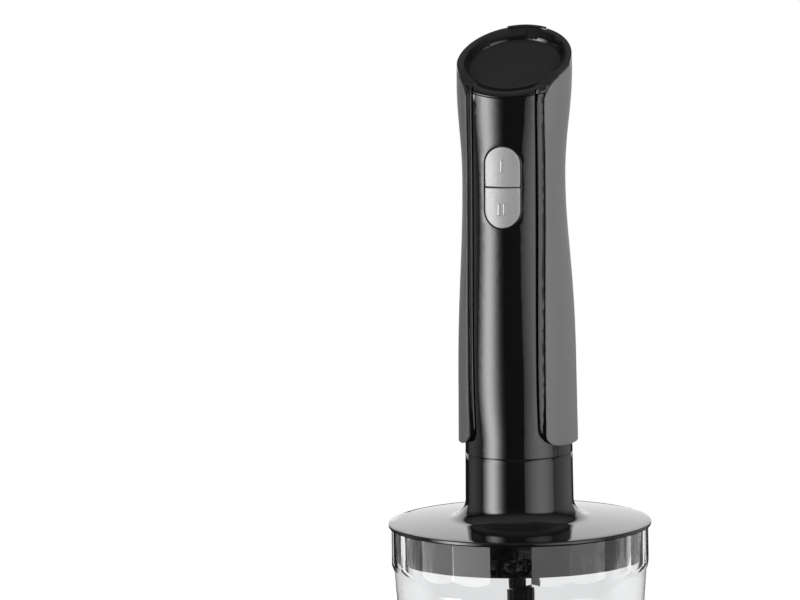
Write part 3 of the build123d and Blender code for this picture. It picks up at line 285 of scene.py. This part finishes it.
finishes = {
    "glossBlack": {
        "color": (0.006, 0.006, 0.0065), "toneScale": 35, "toneAmount": 0.25,
        "roughness": (0.05, 0.085), "markScale": 28,
        "grainScale": 420, "reliefStrength": 0.006, "reliefDepth": 0.00005,
        "shader": {"IOR": 1.5},
    },
    "satinBlack": {
        "color": (0.016, 0.016, 0.0165), "toneScale": 60, "toneAmount": 0.2,
        "roughness": (0.34, 0.44), "markScale": 60,
        "grainScale": 2600, "reliefStrength": 0.12, "reliefDepth": 0.0001,
    },
    "satinRim": {
        "color": (0.006, 0.006, 0.0065), "toneScale": 50, "toneAmount": 0.2,
        "roughness": (0.11, 0.15), "markScale": 45,
        "grainScale": 2200, "reliefStrength": 0.05, "reliefDepth": 0.00008,
        "shader": {"Specular IOR Level": 0.4},
    },
    "softGrey": {
        "color": (0.122, 0.122, 0.124), "toneScale": 45, "toneAmount": 0.06,
        "roughness": (0.46, 0.54), "markScale": 50,
        "grainScale": 3200, "reliefStrength": 0.16, "reliefDepth": 0.00008,
        "shader": {"Sheen Weight": 0.12, "Sheen Roughness": 0.5},
    },
    "softBlack": {
        "color": (0.009, 0.009, 0.0092), "toneScale": 80, "toneAmount": 0.2,
        "roughness": (0.62, 0.72), "markScale": 70,
        "grainScale": 2400, "reliefStrength": 0.3, "reliefDepth": 0.0001,
        "shader": {"Specular IOR Level": 0.3},
    },
    "rubberBlack": {
        "color": (0.018, 0.018, 0.018), "toneScale": 60, "toneAmount": 0.25,
        "roughness": (0.6, 0.78), "markScale": 60,
        "grainScale": 1500, "reliefStrength": 0.25, "reliefDepth": 0.0001,
    },
    "gearWhite": {
        "color": (0.78, 0.77, 0.74), "toneScale": 60, "toneAmount": 0.06,
        "roughness": (0.32, 0.42), "markScale": 70,
        "grainScale": 1800, "reliefStrength": 0.08, "reliefDepth": 0.0001,
    },
    "bladeSteel": {
        "color": (0.62, 0.62, 0.625), "toneScale": 120, "toneAmount": 0.08,
        "roughness": (0.16, 0.26), "markScale": 90,
        "stretch": (30, 3200, 900), "reliefStrength": 0.08, "reliefDepth": 0.0001,
        "shader": {"Metallic": 1.0},
    },
    "turnedSteel": {
        "color": (0.55, 0.55, 0.56), "toneScale": 120, "toneAmount": 0.1,
        "roughness": (0.22, 0.34), "markScale": 90,
        "stretch": (60, 60, 5200), "reliefStrength": 0.12, "reliefDepth": 0.0001,
        "shader": {"Metallic": 1.0},
    },
    "coreSteel": {
        "color": (0.2, 0.2, 0.205), "toneScale": 120, "toneAmount": 0.15,
        "roughness": (0.35, 0.5), "markScale": 90,
        "stretch": (10, 10, 3000), "reliefStrength": 0.5, "reliefDepth": 0.0002,
        "shader": {"Metallic": 1.0},
    },
    "woundCopper": {
        "color": (0.55, 0.2, 0.07), "toneScale": 200, "toneAmount": 0.2,
        "roughness": (0.2, 0.32), "markScale": 90,
        "stretch": (20, 20, 2400), "reliefStrength": 0.6, "reliefDepth": 0.0003,
        "shader": {"Metallic": 1.0},
    },
    "bushBronze": {
        "color": (0.45, 0.3, 0.14), "toneScale": 160, "toneAmount": 0.15,
        "roughness": (0.35, 0.48), "markScale": 90,
        "grainScale": 2600, "reliefStrength": 0.15, "reliefDepth": 0.0001,
        "shader": {"Metallic": 1.0},
    },
    "boardGreen": {
        "color": (0.02, 0.13, 0.05), "toneScale": 200, "toneAmount": 0.15,
        "roughness": (0.25, 0.35), "markScale": 90,
        "grainScale": 1600, "reliefStrength": 0.1, "reliefDepth": 0.0001,
    },
    "carbon": {
        "color": (0.03, 0.03, 0.032), "toneScale": 200, "toneAmount": 0.3,
        "roughness": (0.5, 0.62), "markScale": 90,
        "grainScale": 2600, "reliefStrength": 0.3, "reliefDepth": 0.0001,
    },
}
materials = {name: makeFinish(name, values) for name, values in finishes.items()}

# silver paint with small flakes, satin on the buttons and rubbed brighter on their raised marks
silverPaints = {
    "silverPaint": {
        "color": (0.28, 0.28, 0.285), "flakeColor": (0.37, 0.37, 0.375), "metal": 0.3,
        "roughness": (0.44, 0.5), "markScale": 80,
        "flakeScale": 5200, "flakeStrength": 0.15, "flakeDepth": 0.00004,
    },
    "rubbedSilver": {
        "color": (0.3, 0.3, 0.305), "flakeColor": (0.38, 0.38, 0.385), "metal": 0.7,
        "roughness": (0.36, 0.42), "markScale": 80,
        "flakeScale": 5200, "flakeStrength": 0.1, "flakeDepth": 0.00004,
    },
}


def makeSilver(name, p):
    material, tree, surface = newMaterial(name)
    surface["Metallic"].default_value = p["metal"]
    flakes = addNode(tree, "ShaderNodeTexVoronoi", Vector=objectCoords(tree), Scale=p["flakeScale"])
    split = addNode(tree, "ShaderNodeSeparateColor", Color=flakes.outputs["Color"]).outputs
    tone = addMix(tree, split["Red"], (*p["color"], 1), (*p["flakeColor"], 1), "RGBA")
    bump = addNode(
        tree, "ShaderNodeBump", Height=split["Green"], Strength=p["flakeStrength"], Distance=p["flakeDepth"],
    )
    feed(tree, surface["Base Color"], tone)
    feed(tree, surface["Roughness"], handledRoughness(tree, p))
    feed(tree, surface["Normal"], bump.outputs["Normal"])
    return material


for paintName, paintValues in silverPaints.items():
    materials[paintName] = makeSilver(paintName, paintValues)

# clear moulded plastic of the bowl
clearPlastic = {
    "color": (0.93, 0.935, 0.94), "toneScale": 20.0, "toneAmount": 0.01,
    "roughness": (0.012, 0.03), "markScale": 30, "ior": 1.52,
}


def makeClear(p):
    material, tree, surface = newMaterial("clearPlastic")
    surface["Transmission Weight"].default_value = 1.0
    surface["IOR"].default_value = p["ior"]
    feed(tree, surface["Base Color"], driftingTone(tree, p))
    feed(tree, surface["Roughness"], handledRoughness(tree, p))
    return material


materials["clearPlastic"] = makeClear(clearPlastic)
print("finishes made:", len(materials))

# which finish each CAD node takes
nodeFinish = {
    "clearPlastic": ["bowl"],
    "glossBlack": ["lid_shell", "front_cover", "rear_housing"],
    "satinRim": ["top_cap"],
    "satinBlack": [
        "blade_hub", "gear_cover", "dock_ring", "low_switch", "high_switch", "motor_mount", "brush_bracket",
    ],
    "softGrey": ["left_grip", "right_grip"],
    "softBlack": ["top_pad"],
    "rubberBlack": ["foot_ring", "shaft_seal", "cord_gland", "lower_damper", "upper_damper"],
    "silverPaint": ["low_button", "high_button"],
    "bladeSteel": ["lower_blade", "upper_blade"],
    "turnedSteel": [
        "spindle_pin", "cover_screws", "planet_pins", "sun_gear", "motor_shaft",
        "lower_bearing", "upper_bearing",
    ],
    "coreSteel": ["stator_core", "armature_core"],
    "woundCopper": ["field_coils", "armature_windings", "commutator"],
    "bushBronze": ["output_bush", "input_bush"],
    "gearWhite": [
        "ring_gear", "input_coupling", "planet_carrier", "planet_gear_1", "planet_gear_2", "planet_gear_3",
        "cooling_fan", "drive_coupler",
    ],
    "boardGreen": ["switch_board"],
    "carbon": ["carbon_brushes"],
}
finishOf = {node: finish for finish, members in nodeFinish.items() for node in members}
for node, item in cadNodes.items():
    item.data.materials.clear()
    item.data.materials.append(materials[finishOf[node]])


# mesh helpers
def addObject(name, mesh):
    data = bpy.data.meshes.new(name)
    mesh.to_mesh(data)
    mesh.free()
    thing = bpy.data.objects.new(name, data)
    bpy.context.scene.collection.objects.link(thing)
    return thing


def finishPiece(name, mesh, material, body, sharpDegrees, standsFor=()):
    piece = addObject(name, mesh)
    piece.data.materials.clear()
    piece.data.materials.append(materials[material])
    for face in piece.data.polygons:
        face.use_smooth = True
        face.material_index = 0
    piece.data.set_sharp_from_angle(angle=math.radians(sharpDegrees))
    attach(piece, body)
    if standsFor:
        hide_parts(*standsFor)
    return piece


def roundEdges(mesh, edges, p):
    bmesh.ops.bevel(
        mesh, geom=edges, offset=p["edgeRound"], offset_type="OFFSET", affect="EDGES",
        segments=p["roundSteps"], profile=0.5, material=-1, clamp_overlap=True,
    )


def extrude(mesh, faces):
    grown = bmesh.ops.extrude_face_region(mesh, geom=faces)["geom"]
    verts = [item for item in grown if isinstance(item, bmesh.types.BMVert)]
    ends = [item for item in grown if isinstance(item, bmesh.types.BMFace)]
    return verts, ends


# nodes that show get a welded copy with smooth faces; edges above these degrees stay crisp
shownNodes = {
    "bowl": 12, "foot_ring": 40, "spindle_pin": 40, "blade_hub": 35, "lower_blade": 25, "upper_blade": 25,
    "lid_shell": 28, "gear_cover": 40, "planet_carrier": 40, "front_cover": 28, "rear_housing": 28,
    "left_grip": 28, "right_grip": 28, "top_cap": 28, "top_pad": 40, "dock_ring": 40, "low_button": 32,
    "high_button": 32, "cord_gland": 40, "input_coupling": 35, "drive_coupler": 35, "output_bush": 40,
    "shaft_seal": 40, "input_bush": 40,
}
# copies with broad flat faces, which keep them flat up to their rounded edges
flatFaced = [
    "foot_ring", "spindle_pin", "blade_hub", "lower_blade", "upper_blade", "gear_cover", "planet_carrier",
    "top_pad", "dock_ring", "cord_gland", "input_coupling", "drive_coupler", "output_bush", "shaft_seal",
    "input_bush",
]
weld = {"distance": 0.002 * mm, "degenerate": 0.0001 * mm}


def weldedMesh(node):
    mesh = bmesh.new()
    mesh.from_mesh(cadNodes[node].data)
    bmesh.ops.remove_doubles(mesh, verts=mesh.verts, dist=weld["distance"])
    bmesh.ops.dissolve_degenerate(mesh, edges=mesh.edges, dist=weld["degenerate"])
    return mesh


smoothPieces = {}
for node, sharp in shownNodes.items():
    mesh = weldedMesh(node)
    smoothPieces[node] = finishPiece(
        node + "Skin", mesh, finishOf[node], nodeBody[node], sharp, (node,),
    )
    if node in flatFaced:
        steady = smoothPieces[node].modifiers.new("steadyNormals", "WEIGHTED_NORMAL")
        steady.keep_sharp = True
print("smooth copies:", len(smoothPieces))

# the bowl's flat facets meet in narrow rounded borders
facetBand = {"low": 62 * mm, "upright": 0.02, "leastDegrees": 0.5, "edgeRound": 0.4 * mm, "roundSteps": 3}


def bandFaces(mesh, p):
    found = set()
    for face in mesh.faces:
        middle = face.calc_center_median()
        outward = face.normal.x * middle.x + face.normal.y * middle.y > 0
        if outward and abs(face.normal.z) < p["upright"] and middle.z > p["low"]:
            found.add(face)
    return found


def crispFacets(piece, p):
    mesh = bmesh.new()
    mesh.from_mesh(piece.data)
    least = math.radians(p["leastDegrees"])
    flat = bandFaces(mesh, p)
    borders = []
    for edge in mesh.edges:
        between = all(face in flat for face in edge.link_faces)
        if between and edge.calc_face_angle(0) > least:
            borders.append(edge)
    roundEdges(mesh, borders, p)
    mesh.normal_update()
    flat = bandFaces(mesh, p)
    for edge in mesh.edges:
        bordering = any(face in flat for face in edge.link_faces)
        if bordering and edge.calc_face_angle(0) > least:
            edge.smooth = False
    mesh.to_mesh(piece.data)
    mesh.free()


crispFacets(smoothPieces["bowl"], facetBand)
print("bowl facets rounded")

# raised bars on the two buttons, following their crowned faces
buttonMarks = {
    "width": 1.5 * mm, "height": 5.8 * mm, "proud": 0.42 * mm, "pitch": 2.9 * mm, "sunk": 0.5 * mm,
    "columns": 3, "rows": 9, "rayStart": 50 * mm, "rimAngle": 0.9,
    "edgeRound": 0.38 * mm, "roundSteps": 3, "sharpDegrees": 50,
}


def makeMark(name, node, bars, p):
    skin = weldedMesh(node)
    tree = BVHTree.FromBMesh(skin)
    skin.free()
    low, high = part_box(node)
    middle = (low.z + high.z) / 2
    inward = Vector((0, 1, 0))
    mesh = bmesh.new()
    for bar in range(bars):
        across = (bar - (bars - 1) / 2) * p["pitch"]
        made = bmesh.ops.create_grid(mesh, x_segments=p["columns"], y_segments=p["rows"], size=0.5)["verts"]
        for vert in made:
            x = across + vert.co.x * p["width"]
            z = middle + vert.co.y * p["height"]
            place = tree.ray_cast(Vector((x, low.y - p["rayStart"], z)), inward)[0]
            vert.co = Vector((x, place.y + p["sunk"], z))
    risen = extrude(mesh, list(mesh.faces))[0]
    bmesh.ops.translate(mesh, verts=risen, vec=inward * (-p["sunk"] - p["proud"]))
    bmesh.ops.recalc_face_normals(mesh, faces=mesh.faces)
    rims = [e for e in mesh.edges if len(e.link_faces) == 2 and e.calc_face_angle() > p["rimAngle"]]
    roundEdges(mesh, rims, p)
    finishPiece(name, mesh, "rubbedSilver", nodeBody[node], p["sharpDegrees"])


makeMark("lowMark", "low_button", 1, buttonMarks)
makeMark("highMark", "high_button", 2, buttonMarks)
print("button marks made")

# screws of the gear cover: heads down, with hexagon sockets
coverScrews = {
    "count": 4, "sides": 24, "headRadius": 3.2 * mm, "headHeight": 1.5 * mm, "shankRadius": 1.5 * mm,
    "socketSides": 6, "socketFlats": 2.5 * mm, "socketDepth": 1.0 * mm,
    "edgeRound": 0.25 * mm, "roundSteps": 2, "sharpDegrees": 30,
}


def addScrew(mesh, middle, tipHeight, p):
    headRadius = p["headRadius"]
    socketRadius = p["socketFlats"] / 2
    corner = 2 * math.pi / p["socketSides"]
    made = bmesh.ops.create_circle(
        mesh, cap_ends=True, segments=p["sides"], radius=headRadius, matrix=Matrix.Translation(middle),
    )["verts"]
    underside = made[0].link_faces[0]
    rim = list(underside.edges)
    headTop, topside = extrude(mesh, [underside])
    bmesh.ops.translate(mesh, verts=headTop, vec=(0, 0, p["headHeight"]))
    bmesh.ops.inset_region(mesh, faces=topside, thickness=headRadius - p["shankRadius"])
    shankTip = extrude(mesh, topside)[0]
    bmesh.ops.delete(mesh, geom=topside, context="FACES_ONLY")
    for vert in shankTip:
        vert.co.z = tipHeight
    bmesh.ops.inset_region(mesh, faces=[underside], thickness=headRadius - socketRadius)
    for vert in underside.verts:
        arm = vert.co - middle
        angle = math.atan2(arm.y, arm.x)
        radius = socketRadius / math.cos(angle % corner - corner / 2)
        vert.co = middle + Vector((radius * math.cos(angle), radius * math.sin(angle), 0))
    socketFloor = extrude(mesh, [underside])[0]
    bmesh.ops.delete(mesh, geom=[underside], context="FACES_ONLY")
    bmesh.ops.translate(mesh, verts=socketFloor, vec=(0, 0, p["socketDepth"]))
    roundEdges(mesh, rim, p)


def makeScrews(p):
    low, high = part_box("cover_screws")
    circle = math.hypot(high.x - p["headRadius"], high.y - p["headRadius"])
    mesh = bmesh.new()
    for number in range(p["count"]):
        turn = (number + 0.5) * 2 * math.pi / p["count"]
        addScrew(mesh, Vector((circle * math.cos(turn), circle * math.sin(turn), low.z)), high.z, p)
    bmesh.ops.recalc_face_normals(mesh, faces=mesh.faces)
    body, slotName = nodeBody["cover_screws"], nodeSlot["cover_screws"]
    finishPiece("coverScrewsSkin", mesh, "turnedSteel", body, p["sharpDegrees"], ("cover_screws",))


makeScrews(coverScrews)
print("cover screws made")

# floor: pale, keeps the shadow, and reads as the white ground to the camera
floorSettings = {
    "radius": 0.3, "segments": 128, "drop": 0.3 * mm,
    "color": (0.86, 0.86, 0.86), "roughness": 0.9, "ground": 0.6,
}


def makeFloor(p):
    mesh = bmesh.new()
    bmesh.ops.create_circle(mesh, cap_ends=True, segments=p["segments"], radius=p["radius"])
    bmesh.ops.translate(mesh, verts=mesh.verts, vec=(0, 0, -p["drop"]))
    floor = addObject("floor", mesh)
    material, tree, surface = newMaterial("paleFloor")
    surface["Base Color"].default_value = (*p["color"], 1)
    surface["Roughness"].default_value = p["roughness"]
    surface["Emission Color"].default_value = white
    seen = addNode(tree, "ShaderNodeLightPath").outputs["Is Camera Ray"]
    feed(tree, surface["Emission Strength"], addMath(tree, "MULTIPLY", seen, p["ground"]))
    floor.data.materials.append(material)
    floor.visible_glossy = False
    floor.visible_transmission = False


makeFloor(floorSettings)

# soft boxes: upright panels that show in reflections only, brightest along their middle line
# spread: how far the glow reaches from that line, as a share of the width
# fade: the upper share of the height over which it dims
softBoxes = {
    "keyBox": {
        "azimuth": -45, "distance": 1.1, "width": 1.5, "low": -0.4, "high": 0.9,
        "peak": 10.5, "spread": 0.215, "fade": 0.25,
    },
    "fillBox": {
        "azimuth": 62, "distance": 1.1, "width": 1.6, "low": -0.4, "high": 0.9,
        "peak": 2.7, "spread": 0.42, "fade": 0.25,
    },
    "leftBox": {
        "azimuth": -94, "distance": 1.1, "width": 1.3, "low": -0.4, "high": 0.9,
        "peak": 0.5, "spread": 0.4, "fade": 0.45,
    },
    "rightBox": {
        "azimuth": 122, "distance": 1.1, "width": 2.0, "low": -0.4, "high": 0.9,
        "peak": 0.7, "spread": 0.5, "fade": 0.45,
    },
    "backBox": {
        "azimuth": 196, "distance": 1.2, "width": 3.2, "low": 0.05, "high": 0.9,
        "peak": 1.4, "spread": 0.9, "fade": 0.25,
    },
}


def panelMesh(p):
    mesh = bmesh.new()
    bmesh.ops.create_grid(mesh, x_segments=1, y_segments=1, size=0.5)
    uvLayer = mesh.loops.layers.uv.new("UVMap")
    for face in mesh.faces:
        for loop in face.loops:
            loop[uvLayer].uv = (loop.vert.co.x + 0.5, loop.vert.co.y + 0.5)
    foot = outwardAt(p["azimuth"]) * p["distance"]
    side = sideAt(p["azimuth"])
    for vert in mesh.verts:
        lift = p["low"] + (p["high"] - p["low"]) * (vert.co.y + 0.5)
        vert.co = foot + side * vert.co.x * p["width"] + Vector((0, 0, lift))
    return mesh


def makeSoftBox(name, p):
    panel = addObject(name, panelMesh(p))
    material = bpy.data.materials.new(name)
    material.use_nodes = True
    tree = material.node_tree
    tree.nodes.remove(tree.nodes["Principled BSDF"])
    uv = addNode(tree, "ShaderNodeTexCoord").outputs["UV"]
    place = addNode(tree, "ShaderNodeSeparateXYZ", Vector=uv).outputs
    share = addMath(tree, "DIVIDE", addMath(tree, "SUBTRACT", place["X"], 0.5), p["spread"])
    fall = addMath(tree, "MULTIPLY", addMath(tree, "MULTIPLY", share, share), -1.0)
    bell = addMath(tree, "EXPONENT", fall)
    level = addRange(tree, place["Y"], (1.0, 1.0 - p["fade"]), (0.0, p["peak"]), "SMOOTHSTEP")
    glow = addNode(tree, "ShaderNodeEmission", Strength=addMath(tree, "MULTIPLY", bell, level))
    feed(tree, tree.nodes["Material Output"].inputs["Surface"], glow.outputs["Emission"])
    panel.data.materials.append(material)
    panel.visible_camera = False
    panel.visible_diffuse = False
    panel.visible_transmission = False
    panel.visible_shadow = False


for boxName, boxSettings in softBoxes.items():
    makeSoftBox(boxName, boxSettings)

# one large soft lamp from the right and above for the matt faces
softLamp = {"azimuth": 62, "elevation": 42, "distance": 1.3, "aimHeight": 0.16, "size": 1.0, "energy": 13.5}


def makeLamp(p):
    data = bpy.data.lights.new("softLamp", "AREA")
    data.shape = "DISK"
    data.size = p["size"]
    data.energy = p["energy"]
    lamp = bpy.data.objects.new("softLamp", data)
    bpy.context.scene.collection.objects.link(lamp)
    outward = outwardAt(p["azimuth"], p["elevation"])
    lamp.location = outward * p["distance"] + Vector((0, 0, p["aimHeight"]))
    lamp.rotation_euler = outward.to_track_quat("Z", "Y").to_euler()
    lamp.visible_glossy = False
    lamp.visible_transmission = False


makeLamp(softLamp)

# room: white to the camera and straight through the bowl, and plain to matt faces
# reflections find it dim with a pale ceiling, and those seen through the bowl find it white behind the object
room = {
    "seen": 1.0, "fill": 0.42, "dim": 0.02, "ceiling": 0.45, "ceilingRise": (0.4, 0.95),
    "behind": 196, "behindRise": (-0.1, 0.4), "halfBounce": 0.5,
}


def makeRoom(p):
    world = bpy.data.worlds.new("studio")
    bpy.context.scene.world = world
    world.use_nodes = True
    tree = world.node_tree
    ground = tree.nodes["Background"]
    ground.inputs["Color"].default_value = white
    path = addNode(tree, "ShaderNodeLightPath").outputs
    ray = addNode(tree, "ShaderNodeTexCoord").outputs["Generated"]
    rise = addNode(tree, "ShaderNodeSeparateXYZ", Vector=ray).outputs["Z"]
    mirrored = addRange(tree, rise, p["ceilingRise"], (p["dim"], p["ceiling"]), "SMOOTHSTEP")
    toward = addMath(
        tree, "DOT_PRODUCT", ray, outwardAt(p["behind"]), kind="ShaderNodeVectorMath", output="Value",
    )
    back = addRange(tree, toward, p["behindRise"], (p["dim"], p["seen"]), "SMOOTHSTEP")
    straight = addMath(tree, "LESS_THAN", path["Glossy Depth"], p["halfBounce"])
    through = addMath(tree, "MAXIMUM", back, straight)
    plain = addMix(tree, path["Is Camera Ray"], p["fill"], p["seen"])
    outside = addMix(tree, path["Is Glossy Ray"], plain, mirrored)
    level = addMix(tree, path["Is Transmission Ray"], outside, through)
    feed(tree, ground.inputs["Strength"], level)
    feed(tree, tree.nodes["World Output"].inputs["Surface"], ground.outputs["Background"])


makeRoom(room)
print("floor, lights and room set")
